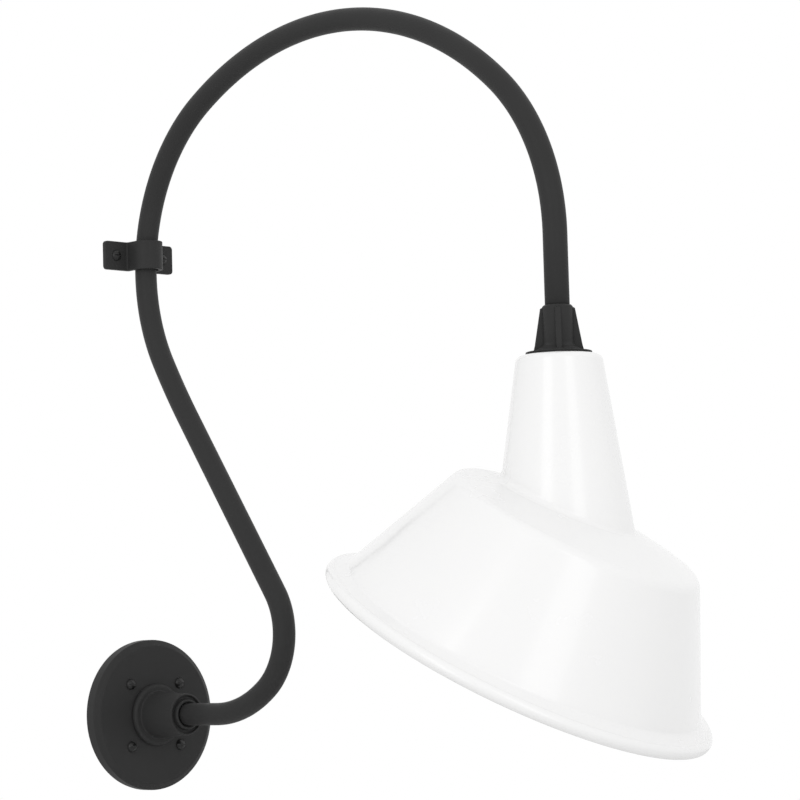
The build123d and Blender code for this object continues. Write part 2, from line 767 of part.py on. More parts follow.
tube_length = sum(edge.length for edge in arm_line)
tube_section = pi * (tube_r ** 2 - (tube_r - tube_wall) ** 2)
print(f"arm: reach {arm_reach:.1f}, end {arm_end:.1f}, tube {tube_length:.1f} long")
print(f"arm volume {on_wall['gooseneck_arm'].volume:.0f}, section x length {tube_section * tube_length:.0f}")
print(f"strap level {strap_up:.1f}, tube {strap_tube_out:.1f} from the wall there")
print(f"wall slope of the bowl {degrees(atan(wall_slope_tan)):.1f} degrees")
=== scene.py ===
# %% [markdown]
# # A gooseneck wall sconce, piece by piece
# The object is a barn light for a wall: a round plate, a long bent tube and a white enamelled shade.
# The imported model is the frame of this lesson. It brings every piece at its real size and place.
# We keep the small and hidden pieces of the frame and give them a finish. The pieces that one sees
# first are modelled again here, with rounded edges, even curves and enough faces to shine well.

# %% Load the frame
import json
from math import atan, cos, degrees, pi, radians, sin, tan

import bmesh
import bpy
from mathutils import Matrix, Vector

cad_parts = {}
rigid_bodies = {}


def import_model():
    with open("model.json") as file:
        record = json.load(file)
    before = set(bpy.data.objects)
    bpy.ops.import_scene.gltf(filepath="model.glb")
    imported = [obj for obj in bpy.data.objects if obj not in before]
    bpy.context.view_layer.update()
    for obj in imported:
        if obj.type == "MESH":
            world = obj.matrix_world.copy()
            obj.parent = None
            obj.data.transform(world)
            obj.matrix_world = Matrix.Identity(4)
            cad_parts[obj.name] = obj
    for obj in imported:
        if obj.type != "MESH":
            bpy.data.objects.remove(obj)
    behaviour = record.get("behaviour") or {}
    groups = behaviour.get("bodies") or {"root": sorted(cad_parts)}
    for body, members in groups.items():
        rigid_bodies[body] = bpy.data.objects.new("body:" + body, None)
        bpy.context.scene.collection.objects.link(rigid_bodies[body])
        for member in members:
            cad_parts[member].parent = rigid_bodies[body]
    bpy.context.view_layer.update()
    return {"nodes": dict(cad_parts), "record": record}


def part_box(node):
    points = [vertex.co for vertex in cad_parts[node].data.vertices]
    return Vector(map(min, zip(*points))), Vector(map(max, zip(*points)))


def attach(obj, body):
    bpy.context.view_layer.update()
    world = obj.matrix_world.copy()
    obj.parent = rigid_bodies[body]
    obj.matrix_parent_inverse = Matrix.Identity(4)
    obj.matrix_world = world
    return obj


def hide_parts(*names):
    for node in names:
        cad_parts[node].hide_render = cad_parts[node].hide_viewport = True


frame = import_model()

# %% [markdown]
# ## Where things are
# The wall is the plane y = 0 and the lamp stands out along -Y. The side of the lamp is a flat drawing,
# so most sizes are given as (out, up): out from the wall, up from the plate's centre, in millimetres.
# Round pieces are drawn about the Z axis and then put in place: on the wall, Z turns to point out,
# and under the arm's end it stays upright. The shade hangs there a little turned about that axis.

# %% Units and places
MM = 0.001
shade_turn = radians(18)


def side_point(out, up):
    """A point of the side drawing, in metres in the frame."""
    return Vector((0, -out * MM, up * MM))


gasket_low, gasket_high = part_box("cap_gasket")
screw_low, screw_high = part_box("strap_screws")
arm_reach = -(gasket_low.y + gasket_high.y) / 2 / MM
neck_top = gasket_low.z / MM
strap_up = (screw_low.z + screw_high.z) / 2 / MM
out_of_wall = Matrix.Rotation(radians(90), 4, "X")
under_arm = Matrix.Translation(side_point(arm_reach, 0))
head_place = under_arm @ Matrix.Rotation(shade_turn, 4, "Z")
print(f"reach {arm_reach:.1f} mm, top of the shade {neck_top:.1f} mm, strap {strap_up:.1f} mm up")

# %% [markdown]
# ## The camera
# The picture was taken from low down and to the left of the lamp, with a long lens and the camera
# tipped up by 5 degrees. A long lens keeps the plate and the shade at nearly the same scale.
# The direction in which the camera looks comes from its two angles. The small roll is added last.

# %% Camera
camera_azimuth = radians(-43.3)
camera_elevation = radians(-5.0)
camera_roll = radians(-1.6)
camera_place = Vector((-1.919, -2.428, 0.046))
lens_mm = 135
sensor_mm = 36

level = cos(camera_elevation)
back = Vector((sin(camera_azimuth) * level, -cos(camera_azimuth) * level, sin(camera_elevation)))
facing = (-back).to_track_quat("-Z", "Y").to_matrix().to_4x4()
camera = bpy.data.objects.new("Camera", bpy.data.cameras.new("Camera"))
bpy.context.scene.collection.objects.link(camera)
camera.data.lens = lens_mm
camera.data.sensor_width = sensor_mm
camera.matrix_world = Matrix.Translation(camera_place) @ facing @ Matrix.Rotation(camera_roll, 4, "Z")
bpy.context.scene.camera = camera
print("camera at", [round(x, 3) for x in camera.location])

# %% [markdown]
# ## Effects that several finishes share
# A painted or cast surface is never quite even. Three effects cover most of it: a fine relief under
# the shine, a shine that changes a little from place to place, and a slow drift of the colour.
# Each effect is a node group, built once. It reads Object coordinates, so it stays on the piece when
# the piece moves. A fourth group draws the fine rings that a lathe leaves.

# %% A way to make a node group
FLOAT = "NodeSocketFloat"
COLOR = "NodeSocketColor"


def new_group(name, inputs, outputs):
    """An empty shader node group with float or colour sockets, and its two end nodes."""
    group = bpy.data.node_groups.new(name, "ShaderNodeTree")
    for label, kind, value in inputs:
        socket = group.interface.new_socket(name=label, in_out="INPUT", socket_type=kind)
        socket.default_value = value
    for label, kind in outputs:
        group.interface.new_socket(name=label, in_out="OUTPUT", socket_type=kind)
    return group, group.nodes.new("NodeGroupInput"), group.nodes.new("NodeGroupOutput")


def object_noise(group, scale_socket, detail, roughness=0.5):
    """A noise texture on Object coordinates, its scale fed from a socket of the group."""
    place = group.nodes.new("ShaderNodeTexCoord")
    noise = group.nodes.new("ShaderNodeTexNoise")
    noise.inputs["Detail"].default_value = detail
    noise.inputs["Roughness"].default_value = roughness
    group.links.new(place.outputs["Object"], noise.inputs["Vector"])
    group.links.new(scale_socket, noise.inputs["Scale"])
    return noise


# %% Fine relief: the grain of a coat or a casting, on a wider swell
swell_scale_share = 0.18
fine_relief, relief_in, relief_out = new_group(
    "fine relief", [("Scale", FLOAT, 800.0), ("Coarse share", FLOAT, 0.4)], [("Height", FLOAT)])
grain = object_noise(fine_relief, relief_in.outputs["Scale"], 3.0)
slower = fine_relief.nodes.new("ShaderNodeMath")
slower.operation = "MULTIPLY"
slower.inputs[1].default_value = swell_scale_share
fine_relief.links.new(relief_in.outputs["Scale"], slower.inputs[0])
swell = object_noise(fine_relief, slower.outputs[0], 1.0)
both = fine_relief.nodes.new("ShaderNodeMix")
fine_relief.links.new(relief_in.outputs["Coarse share"], both.inputs["Factor"])
fine_relief.links.new(grain.outputs["Fac"], both.inputs["A"])
fine_relief.links.new(swell.outputs["Fac"], both.inputs["B"])
fine_relief.links.new(both.outputs["Result"], relief_out.inputs["Height"])
print("group:", fine_relief.name)

# %% Uneven shine: roughness between two values
noise_low, noise_high = 0.2, 0.8
uneven_shine, shine_in, shine_out = new_group(
    "uneven shine", [("Scale", FLOAT, 30.0), ("Low", FLOAT, 0.3), ("High", FLOAT, 0.5)],
    [("Roughness", FLOAT)])
patches = object_noise(uneven_shine, shine_in.outputs["Scale"], 4.0, 0.6)
spread = uneven_shine.nodes.new("ShaderNodeMapRange")
spread.inputs["From Min"].default_value = noise_low
spread.inputs["From Max"].default_value = noise_high
uneven_shine.links.new(patches.outputs["Fac"], spread.inputs["Value"])
uneven_shine.links.new(shine_in.outputs["Low"], spread.inputs["To Min"])
uneven_shine.links.new(shine_in.outputs["High"], spread.inputs["To Max"])
uneven_shine.links.new(spread.outputs["Result"], shine_out.inputs["Roughness"])
print("group:", uneven_shine.name)

# %% Colour drift: two close shades mixed in slow patches
mid_grey = (0.5, 0.5, 0.5, 1)
colour_drift, drift_in, drift_out = new_group(
    "colour drift", [("Scale", FLOAT, 12.0), ("One", COLOR, mid_grey), ("Other", COLOR, mid_grey)],
    [("Color", COLOR)])
clouds = object_noise(colour_drift, drift_in.outputs["Scale"], 3.0)
blend_shades = colour_drift.nodes.new("ShaderNodeMix")
blend_shades.data_type = "RGBA"
colour_drift.links.new(clouds.outputs["Fac"], blend_shades.inputs["Factor"])
colour_drift.links.new(drift_in.outputs["One"], blend_shades.inputs["A"])
colour_drift.links.new(drift_in.outputs["Other"], blend_shades.inputs["B"])
colour_drift.links.new(blend_shades.outputs["Result"], drift_out.inputs["Color"])
print("group:", colour_drift.name)

# %% Rings of the lathe: fine lines round an axis
turned_lines, lines_in, lines_out = new_group(
    "turned lines", [("Fineness", FLOAT, 900.0), ("Depth", FLOAT, 0.5)], [("Height", FLOAT)])
lines_place = turned_lines.nodes.new("ShaderNodeTexCoord")
lines_split = turned_lines.nodes.new("ShaderNodeSeparateXYZ")
lines_step = turned_lines.nodes.new("ShaderNodeMath")
lines_step.operation = "MULTIPLY"
lines_noise = turned_lines.nodes.new("ShaderNodeTexNoise")
lines_noise.noise_dimensions = "1D"
lines_noise.inputs["Scale"].default_value = 1.0
lines_noise.inputs["Detail"].default_value = 3.0
lines_deep = turned_lines.nodes.new("ShaderNodeMath")
lines_deep.operation = "MULTIPLY"
turned_lines.links.new(lines_place.outputs["Object"], lines_split.inputs[0])
turned_lines.links.new(lines_split.outputs["Z"], lines_step.inputs[0])
turned_lines.links.new(lines_in.outputs["Fineness"], lines_step.inputs[1])
turned_lines.links.new(lines_step.outputs[0], lines_noise.inputs["W"])
turned_lines.links.new(lines_noise.outputs["Fac"], lines_deep.inputs[0])
turned_lines.links.new(lines_in.outputs["Depth"], lines_deep.inputs[1])
turned_lines.links.new(lines_deep.outputs[0], lines_out.inputs["Height"])
print("group:", turned_lines.name)

# %% [markdown]
# ## The finishes
# Most finishes start from the same three choices: two close shades of the colour, a low and a high
# roughness, and a relief. A small function wires the groups to a new material, so that each finish
# is then a few numbers. What is the same all over, such as the amount of clear coat, is set on the
# shader itself, and stays a plain value.

# %% A finish from the groups
def finish(name, shades, shade_scale, shine, shine_scale, relief=None, **plain):
    """A material with drifting colour, uneven shine and fine relief; plain sets constant sockets.

    The shine is a low and a high roughness. The relief is its scale, the share of the wide swell in
    it, and its height in millimetres.
    """
    material = bpy.data.materials.new(name)
    material.use_nodes = True
    nodes, links = material.node_tree.nodes, material.node_tree.links
    shader = nodes["Principled BSDF"]
    drift = nodes.new("ShaderNodeGroup")
    drift.node_tree = colour_drift
    drift.inputs["Scale"].default_value = shade_scale
    drift.inputs["One"].default_value = (*shades[0], 1)
    drift.inputs["Other"].default_value = (*shades[1], 1)
    links.new(drift.outputs["Color"], shader.inputs["Base Color"])
    patch = nodes.new("ShaderNodeGroup")
    patch.node_tree = uneven_shine
    patch.inputs["Scale"].default_value = shine_scale
    patch.inputs["Low"].default_value, patch.inputs["High"].default_value = shine
    links.new(patch.outputs["Roughness"], shader.inputs["Roughness"])
    if relief:
        scale, coarse, height = relief
        fine = nodes.new("ShaderNodeGroup")
        fine.node_tree = fine_relief
        fine.inputs["Scale"].default_value = scale
        fine.inputs["Coarse share"].default_value = coarse
        add_bump(material, fine.outputs["Height"], height)
    for socket, value in plain.items():
        shader.inputs[socket.replace("_", " ")].default_value = value
    return material


def add_bump(material, height_socket, height):
    """Lets a height bend the light on a material, by this many millimetres."""
    nodes, links = material.node_tree.nodes, material.node_tree.links
    bump = nodes.new("ShaderNodeBump")
    bump.inputs["Distance"].default_value = height * MM
    links.new(height_socket, bump.inputs["Height"])
    links.new(bump.outputs["Normal"], nodes["Principled BSDF"].inputs["Normal"])


def grey(level, warm=0.0):
    """A grey, a little warmer or cooler."""
    return (level * (1 + warm), level, level * (1 - warm))


# %% [markdown]
# ### The black finishes
# The plate and the tube have a satin black powder coat. It is sprayed as dust and melted, which
# leaves a very soft orange peel about a millimetre wide. The hub, strap, collar and cap are cast, so
# the coat on them follows a slightly coarser skin. The screws are painted with the lamp, in one
# thin coat over steel, and shine a little more. A low specular level keeps the black deep.

# %% Powder coat, cast coat and painted screws
black_coat = finish(
    "powder coat", shades=(grey(0.03), grey(0.036)), shade_scale=14.0,
    shine=(0.4, 0.52), shine_scale=45.0, relief=(1100.0, 0.7, 0.035), Specular_IOR_Level=0.08)
black_cast = finish(
    "coated casting", shades=(grey(0.028), grey(0.035)), shade_scale=30.0,
    shine=(0.42, 0.56), shine_scale=90.0, relief=(1500.0, 0.5, 0.06), Specular_IOR_Level=0.1)
black_screw = finish(
    "painted screw", shades=(grey(0.009), grey(0.013)), shade_scale=120.0,
    shine=(0.26, 0.36), shine_scale=200.0, relief=(2200.0, 0.5, 0.03), Specular_IOR_Level=0.35)
print("black finishes:", black_coat.name, black_cast.name, black_screw.name)

# %% [markdown]
# ### White enamel
# Porcelain enamel is glass melted on the steel. It is smooth and very glossy, but the glass pools in
# long soft waves, so reflections in it are never straight. A clear coat over a slightly rougher white
# gives the depth of the glass, and a slow, wide relief gives the waves.

# %% Enamel
enamel = finish(
    "white enamel", shades=(grey(0.85, 0.002), grey(0.87, 0.001)), shade_scale=6.0,
    shine=(0.2, 0.3), shine_scale=18.0, relief=(26.0, 0.8, 0.22), Coat_Weight=0.3, Coat_Roughness=0.1)
print("enamel:", enamel.name)

# %% [markdown]
# ### Metals of the lamp holder
# Small metal parts are zinc plated steel or plain brass, most of them turned on a lathe. The rings of
# the tool take the place of the relief, so that a highlight breaks up along them.

# %% Zinc and brass
def turned_metal(name, shades, shine, fineness, height):
    """A metal finish whose relief is the rings that a lathe leaves."""
    material = finish(name, shades, shade_scale=60.0, shine=shine, shine_scale=140.0, Metallic=1.0)
    rings = material.node_tree.nodes.new("ShaderNodeGroup")
    rings.node_tree = turned_lines
    rings.inputs["Fineness"].default_value = fineness
    add_bump(material, rings.outputs["Height"], height)
    return material


zinc_steel = turned_metal(
    "zinc plated steel", shades=((0.56, 0.57, 0.58), (0.64, 0.63, 0.6)), shine=(0.24, 0.4),
    fineness=5200.0, height=0.03)
brass = turned_metal(
    "sheet brass", shades=((0.74, 0.52, 0.22), (0.8, 0.6, 0.3)), shine=(0.2, 0.34),
    fineness=4200.0, height=0.02)
print("metals:", zinc_steel.name, brass.name)

# %% [markdown]
# ### Rubber, porcelain, plastics
# What is left is small or half hidden, but each has its own skin: sponge rubber is rough and open,
# glazed porcelain is glossy with a faint swell, wire insulation has a soft sheen, moulded plastic
# has a fine even grain, and the lamp's dome is frosted.

# %% Small finishes
gasket_rubber = finish(
    "sponge rubber", shades=(grey(0.015), grey(0.028)), shade_scale=200.0,
    shine=(0.75, 0.95), shine_scale=300.0, relief=(2600.0, 0.3, 0.12))
green_paint = finish(
    "green screw paint", shades=((0.012, 0.16, 0.035), (0.018, 0.21, 0.05)), shade_scale=90.0,
    shine=(0.3, 0.45), shine_scale=160.0, relief=(1800.0, 0.4, 0.03))
porcelain = finish(
    "glazed porcelain", shades=(grey(0.74, 0.03), grey(0.79, 0.02)), shade_scale=25.0,
    shine=(0.1, 0.18), shine_scale=60.0, relief=(120.0, 0.7, 0.1), Coat_Weight=0.3, Coat_Roughness=0.03)
wire_black = finish(
    "black insulation", shades=(grey(0.012), grey(0.018)), shade_scale=80.0,
    shine=(0.4, 0.5), shine_scale=150.0, relief=(1500.0, 0.5, 0.03))
wire_white = finish(
    "white insulation", shades=(grey(0.7, 0.02), grey(0.76, 0.01)), shade_scale=80.0,
    shine=(0.4, 0.5), shine_scale=150.0, relief=(1500.0, 0.5, 0.03))
nylon = finish(
    "black nylon", shades=(grey(0.02), grey(0.028)), shade_scale=110.0,
    shine=(0.45, 0.6), shine_scale=200.0, relief=(1900.0, 0.4, 0.04))
lamp_plastic = finish(
    "lamp body", shades=(grey(0.76, 0.01), grey(0.8, 0.005)), shade_scale=20.0,
    shine=(0.28, 0.38), shine_scale=80.0, relief=(1700.0, 0.4, 0.03))
frosted = finish(
    "frosted dome", shades=(grey(0.82, 0.01), grey(0.86, 0.005)), shade_scale=15.0,
    shine=(0.5, 0.62), shine_scale=70.0, relief=(2400.0, 0.3, 0.04), Subsurface_Weight=0.15)
board_white = finish(
    "coated board", shades=(grey(0.7), grey(0.78)), shade_scale=60.0,
    shine=(0.4, 0.55), shine_scale=120.0, relief=(1600.0, 0.5, 0.03))
tinned = finish(
    "tinned contact", shades=(grey(0.3, 0.08), grey(0.4, 0.1)), shade_scale=240.0,
    shine=(0.3, 0.5), shine_scale=300.0, relief=(900.0, 0.8, 0.08), Metallic=0.6)
print("small finishes, from", gasket_rubber.name, "to", tinned.name)

# %% [markdown]
# ## Finishes on the pieces of the frame
# The record names a material slot for every node. We follow that list, so the finish of each small
# piece is decided in one place.

# %% Dress the frame
by_slot = {
    "black_coat": black_coat, "black_cast": black_cast, "black_screw": black_screw,
    "white_enamel": enamel, "gasket_rubber": gasket_rubber, "zinc_steel": zinc_steel,
    "porcelain": porcelain, "brass": brass, "green_screw": green_paint, "wire_black": wire_black,
    "wire_white": wire_white, "bushing_plastic": nylon, "lamp_body": lamp_plastic,
    "frosted_dome": frosted, "lamp_tip": tinned, "board_aluminium": board_white,
}
for subpart in frame["record"]["subparts"]:
    node = frame["nodes"][subpart["node"]]
    node.data.materials.clear()
    node.data.materials.append(by_slot[subpart["material_slot"]])

# %% [markdown]
# ## Tools for round pieces
# Most of the lamp is turned: it has a section that runs round an axis. We draw the section as a chain
# of corners, given as (radius, height), and spin it. Sharp turns of the section then become rings of
# edges, and a bevel rounds exactly the rings that are rounded on the real piece. Those corners have a
# third number, the width of the rounding.

# %% Draw, spin and soften
merge_within = 0.002 * MM
corner_within = 0.02 * MM


def drawn(corners, closed):
    """A bmesh with a chain of edges through corners, given as (radius, height) in millimetres."""
    mesh = bmesh.new()
    verts = [mesh.verts.new((radius * MM, 0, height * MM)) for radius, height, *_ in corners]
    ends = verts[1:] + verts[:1] if closed else verts[1:]
    for a, b in zip(verts, ends):
        mesh.edges.new((a, b))
    return mesh


def spun(mesh, steps):
    """Spins everything in the bmesh once round the Z axis and closes it."""
    bmesh.ops.spin(mesh, geom=mesh.verts[:] + mesh.edges[:], cent=(0, 0, 0), axis=(0, 0, 1),
                   angle=2 * pi, steps=steps, use_merge=True, use_duplicate=False)
    bmesh.ops.remove_doubles(mesh, verts=mesh.verts, dist=merge_within)
    bmesh.ops.recalc_face_normals(mesh, faces=mesh.faces)
    return mesh


def round_edges(mesh, edges, width, segments=4, clamp=False):
    """Rounds edges of a bmesh; the width is in millimetres."""
    bmesh.ops.bevel(mesh, geom=edges, offset=width * MM, segments=segments, profile=0.5,
                    affect="EDGES", material=-1, clamp_overlap=clamp)


def ring_at(mesh, radius, height):
    """The ring of edges that one corner of the section became."""
    return [edge for edge in mesh.edges
            if all(abs(vert.co.xy.length - radius * MM) < corner_within
                   and abs(vert.co.z - height * MM) < corner_within for vert in edge.verts)]


def turned_piece(corners, steps=96, closed=True):
    """A turned piece from its section, with its corners rounded where they say so."""
    mesh = spun(drawn(corners, closed), steps)
    for radius, height, *width in corners:
        if width:
            round_edges(mesh, ring_at(mesh, radius, height), width[0], clamp=True)
    return mesh


def verts_in(made):
    """The vertices among what an operator made."""
    return [element for element in made if isinstance(element, bmesh.types.BMVert)]


def edges_in(made):
    """The edges among what an operator made."""
    return [element for element in made if isinstance(element, bmesh.types.BMEdge)]


# %% Put a mesh in the scene
def add(mesh, place):
    """Moves everything in a bmesh to its place and returns it."""
    bmesh.ops.transform(mesh, matrix=place, verts=mesh.verts)
    return mesh


def joined(meshes):
    """One bmesh from several."""
    whole = bmesh.new()
    for mesh in meshes:
        data = bpy.data.meshes.new("part of a piece")
        mesh.to_mesh(data)
        mesh.free()
        whole.from_mesh(data)
        bpy.data.meshes.remove(data)
    return whole


def make_piece(name, mesh, body, slot, stands_for, sharp=32, weighted=True):
    """An object from a bmesh, with its finish, its body and the node that it stands for."""
    data = bpy.data.meshes.new(name)
    mesh.to_mesh(data)
    mesh.free()
    data.shade_smooth()
    data.set_sharp_from_angle(angle=radians(sharp))
    data.materials.append(by_slot[slot])
    piece = bpy.data.objects.new(name, data)
    bpy.context.scene.collection.objects.link(piece)
    if weighted:
        even = piece.modifiers.new("even shading", "WEIGHTED_NORMAL")
        even.keep_sharp = True
    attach(piece, body)
    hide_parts(stands_for)
    print(f"{name}: {len(data.polygons)} faces")
    return piece


# %% Cut one mesh with another
def carved(mesh, cutter):
    """The bmesh less the cutter, by an exact boolean that is applied at once."""
    pair = []
    for label, part in (("carved", mesh), ("cutter", cutter)):
        data = bpy.data.meshes.new(label)
        part.to_mesh(data)
        part.free()
        pair.append(bpy.data.objects.new(label, data))
        bpy.context.scene.collection.objects.link(pair[-1])
    cut = pair[0].modifiers.new("cut", "BOOLEAN")
    cut.object = pair[1]
    cut.solver = "EXACT"
    seen = pair[0].evaluated_get(bpy.context.evaluated_depsgraph_get())
    result = bmesh.new()
    result.from_mesh(bpy.data.meshes.new_from_object(seen))
    for part in pair:
        bpy.data.objects.remove(part)
    return result


# %% [markdown]
# ## The wall plate
# The plate is a cast cup, open at the back. Its face meets the rim in a wide chamfer, and the edges
# of the chamfer are slightly rounded by the coat. Inside it stand four bosses for the screws and a
# fifth for the ground screw. We spin the cup and add the bosses as short turned posts.

# %% Wall plate
plate_r = 76.2
plate_face = 16.0
plate_back = 1.6
plate_chamfer_in = 6.2
plate_chamfer_out = 4.0
chamfer_round = 0.9
rim_round = 0.4
hollow_r = 70.2
hollow_floor = 12.0
hollow_round = 1.0
hub_hole_r = 17.0
cup = turned_piece([
    (hub_hole_r, plate_face), (plate_r - plate_chamfer_in, plate_face, chamfer_round),
    (plate_r, plate_face - plate_chamfer_out, chamfer_round), (plate_r, plate_back, rim_round),
    (hollow_r, plate_back, rim_round), (hollow_r, hollow_floor, hollow_round),
    (hub_hole_r, hollow_floor)], steps=160)
print("cup:", len(cup.faces), "faces")

# %% Bosses of the plate
screw_ring_r = 44.45
first_screw_angle = 45
boss_r = 6.0
boss_bore_r = 2.3
boss_set_back = 0.8
ground_boss_r = 4.5
ground_boss_bore_r = 2.05
ground_boss_high = 4.5
ground_screw_up = 52
boss_round = 0.5
boss_sunk = 1


def boss(radius, bore, low):
    """A post inside the plate, with its screw hole; its other end is sunk in the plate's face."""
    high = hollow_floor + boss_sunk
    return turned_piece([(bore, low), (radius, low, boss_round), (radius, high), (bore, high)], steps=32)


screw_places = []
for quarter in range(4):
    angle = radians(first_screw_angle + 90 * quarter)
    screw_places.append(Matrix.Translation(
        (screw_ring_r * MM * cos(angle), screw_ring_r * MM * sin(angle), 0)))
bosses = [add(boss(boss_r, boss_bore_r, plate_back + boss_set_back), place) for place in screw_places]
ground_boss = boss(ground_boss_r, ground_boss_bore_r, hollow_floor - ground_boss_high)
bosses.append(add(ground_boss, Matrix.Translation((0, ground_screw_up * MM, 0))))
make_piece("plate_cup", add(joined([cup] + bosses), out_of_wall), "wall_bracket", "black_coat",
           "wall_plate")

# %% [markdown]
# ## The dome-head screws
# The plate has four screws and the strap two. They are ordinary slotted screws with a tall round
# head, painted black with the lamp. The head is part of a ball: we take a sphere, cut it off flat
# with bisect_plane, and carve the slot with a thin box. The shank behind it is turned.

# %% Slotted screw
slot_width = 1.5
slot_depth = 1.9
slot_lip_round = 0.14
slot_lip_turn = radians(40)
slot_floor_margin = 0.05
head_r = 5.7


def dome_screw(head_high, neck_r, thread_r, face, reach):
    """A screw drawn about Z: its head stands on the height face, and its tip is at -reach."""
    ball_r = (head_r ** 2 + head_high ** 2) / (2 * head_high)
    top = face + head_high
    head = bmesh.new()
    bmesh.ops.create_uvsphere(head, u_segments=48, v_segments=36, radius=ball_r * MM)
    bmesh.ops.translate(head, verts=head.verts, vec=(0, 0, (top - ball_r) * MM))
    cut = bmesh.ops.bisect_plane(head, geom=head.verts[:] + head.edges[:] + head.faces[:],
                                 dist=0.001 * MM, plane_co=(0, 0, face * MM), plane_no=(0, 0, -1),
                                 clear_outer=True)
    bmesh.ops.edgeloop_fill(head, edges=edges_in(cut["geom_cut"]))
    bmesh.ops.recalc_face_normals(head, faces=head.faces)
    groove = bmesh.new()
    bmesh.ops.create_cube(groove, size=1)
    bmesh.ops.scale(groove, verts=groove.verts,
                    vec=(3 * head_r * MM, slot_width * MM, 2 * slot_depth * MM))
    bmesh.ops.translate(groove, verts=groove.verts, vec=(0, 0, top * MM))
    head = carved(head, groove)
    above_floor = (top - slot_depth + slot_floor_margin) * MM
    lip = [edge for edge in head.edges if edge.calc_face_angle(0) > slot_lip_turn
           and min(vert.co.z for vert in edge.verts) > above_floor]
    round_edges(head, lip, slot_lip_round, segments=2)
    shank = turned_piece([
        (0, face), (neck_r, face), (neck_r, 0), (thread_r, 0), (thread_r, thread_r * 2 - reach),
        (thread_r / 2, -reach), (0, -reach)], steps=32, closed=False)
    return joined([head, shank])


# %% Plate screws
plate_screws = []
for place in screw_places:
    screw = dome_screw(head_high=4.4, neck_r=1.9, thread_r=2.085, face=plate_face, reach=9.0)
    plate_screws.append(add(screw, place))
make_piece("plate_dome_screws", add(joined(plate_screws), out_of_wall), "wall_bracket", "black_screw",
           "plate_screws", weighted=False)

# %% Strap screws
strap_thick = 4.4
strap_hole_side = 30
strap_screws = []
for side in (-1, 1):
    screw = dome_screw(head_high=4.2, neck_r=2.0, thread_r=2.4, face=strap_thick, reach=12.0)
    strap_screws.append(add(screw, Matrix.Translation((side * strap_hole_side * MM, strap_up * MM, 0))))
make_piece("strap_dome_screws", add(joined(strap_screws), out_of_wall), "wall_bracket", "black_screw",
           "strap_screws", weighted=False)

# %% [markdown]
# ## Hub and collar
# The hub is a slim cone that takes the arm into the plate. A round bead hides its joint with the
# plate, and its nose has a thin lip round a recess. A small collar sits in the recess, round the tube.
# Both are turned, so each is one spun section. The bead gets its shape from two wide bevels.

# %% Hub
tube_r = 11.1
tube_wall = 1.5
tube_start = 20.0
slip_fit = 0.05
spigot_length = 9.6
hub_bead_r = 31.3
hub_bead_high = 6.4
hub_root_r = 23.85
hub_nose_r = 20.8
hub_length = 50.5
hub_lip_r = 19.0
recess_deep = 2.6
seat_r = 15.55
seat_deep = 10.6
tube_hole_r = tube_r + slip_fit
tube_bore_r = tube_r - tube_wall
spigot_end = plate_face - spigot_length
hub_bead_top = plate_face + hub_bead_high
hub_nose = plate_face + hub_length
hub_recess = hub_nose - recess_deep
seat_floor = hub_nose - seat_deep
hub = turned_piece([
    (hub_hole_r, spigot_end), (hub_hole_r, plate_face), (hub_bead_r, plate_face, 2.2),
    (hub_bead_r, hub_bead_top, 3.4), (hub_root_r, hub_bead_top, 1.4), (hub_nose_r, hub_nose, 1.1),
    (hub_lip_r, hub_nose, 0.5), (hub_lip_r, hub_recess, 0.6), (seat_r, hub_recess),
    (seat_r, seat_floor), (tube_hole_r, seat_floor), (tube_hole_r, tube_start),
    (tube_bore_r, tube_start), (tube_bore_r, spigot_end)], steps=128)
make_piece("hub_cone", add(hub, out_of_wall), "wall_bracket", "black_cast", "plate_hub")

# %% Collar
collar_r = 15.5
collar_end_r = 14.9
collar_mouth_r = 12.9
collar_stand = 2.4
collar_mouth_deep = 2.2
collar_far = hub_nose + collar_stand
collar = turned_piece([
    (tube_hole_r, seat_floor), (collar_r, seat_floor), (collar_r, hub_recess),
    (collar_end_r, collar_far, 1.3), (collar_mouth_r, collar_far, 0.5),
    (tube_hole_r, collar_far - collar_mouth_deep)])
make_piece("collar_ring", add(collar, out_of_wall), "wall_bracket", "black_cast", "hub_collar")

# %% [markdown]
# ## The arm
# The arm is one steel tube, bent on a round former six times. Each bend is a true arc, so the tube
# can be made like the real one: start with its round end, push it out for a straight run, and spin
# the open end about the centre of each bend. The wall thickness comes last, from Solidify.
# An angle is a heading in the side drawing: 0 is straight out of the wall and 90 is straight up.

# %% Straights and bends of the arm
exit_run = 114.0
sweep_radius = 131.0
sweep_angle = 35.6
bend_radius = 67.0
lean_angle = 125.2
diagonal_run = 220.25
ease_radius = 800.0
ease_angle = 120.0
back_radius = 188.4
back_angle = 30.7
top_radius = 360.0
top_angle = -42.2
front_radius = 201.5
end_angle = -90.0
end_drop = 92.5
straight = 0
straights_and_bends = [
    (exit_run - tube_start, straight), (sweep_radius, sweep_angle),
    (bend_radius, lean_angle - sweep_angle), (diagonal_run, straight),
    (ease_radius, ease_angle - lean_angle), (back_radius, back_angle - ease_angle),
    (top_radius, top_angle - back_angle), (front_radius, end_angle - top_angle),
    (end_drop, straight)]
print("arm:", len(straights_and_bends), "straights and bends")

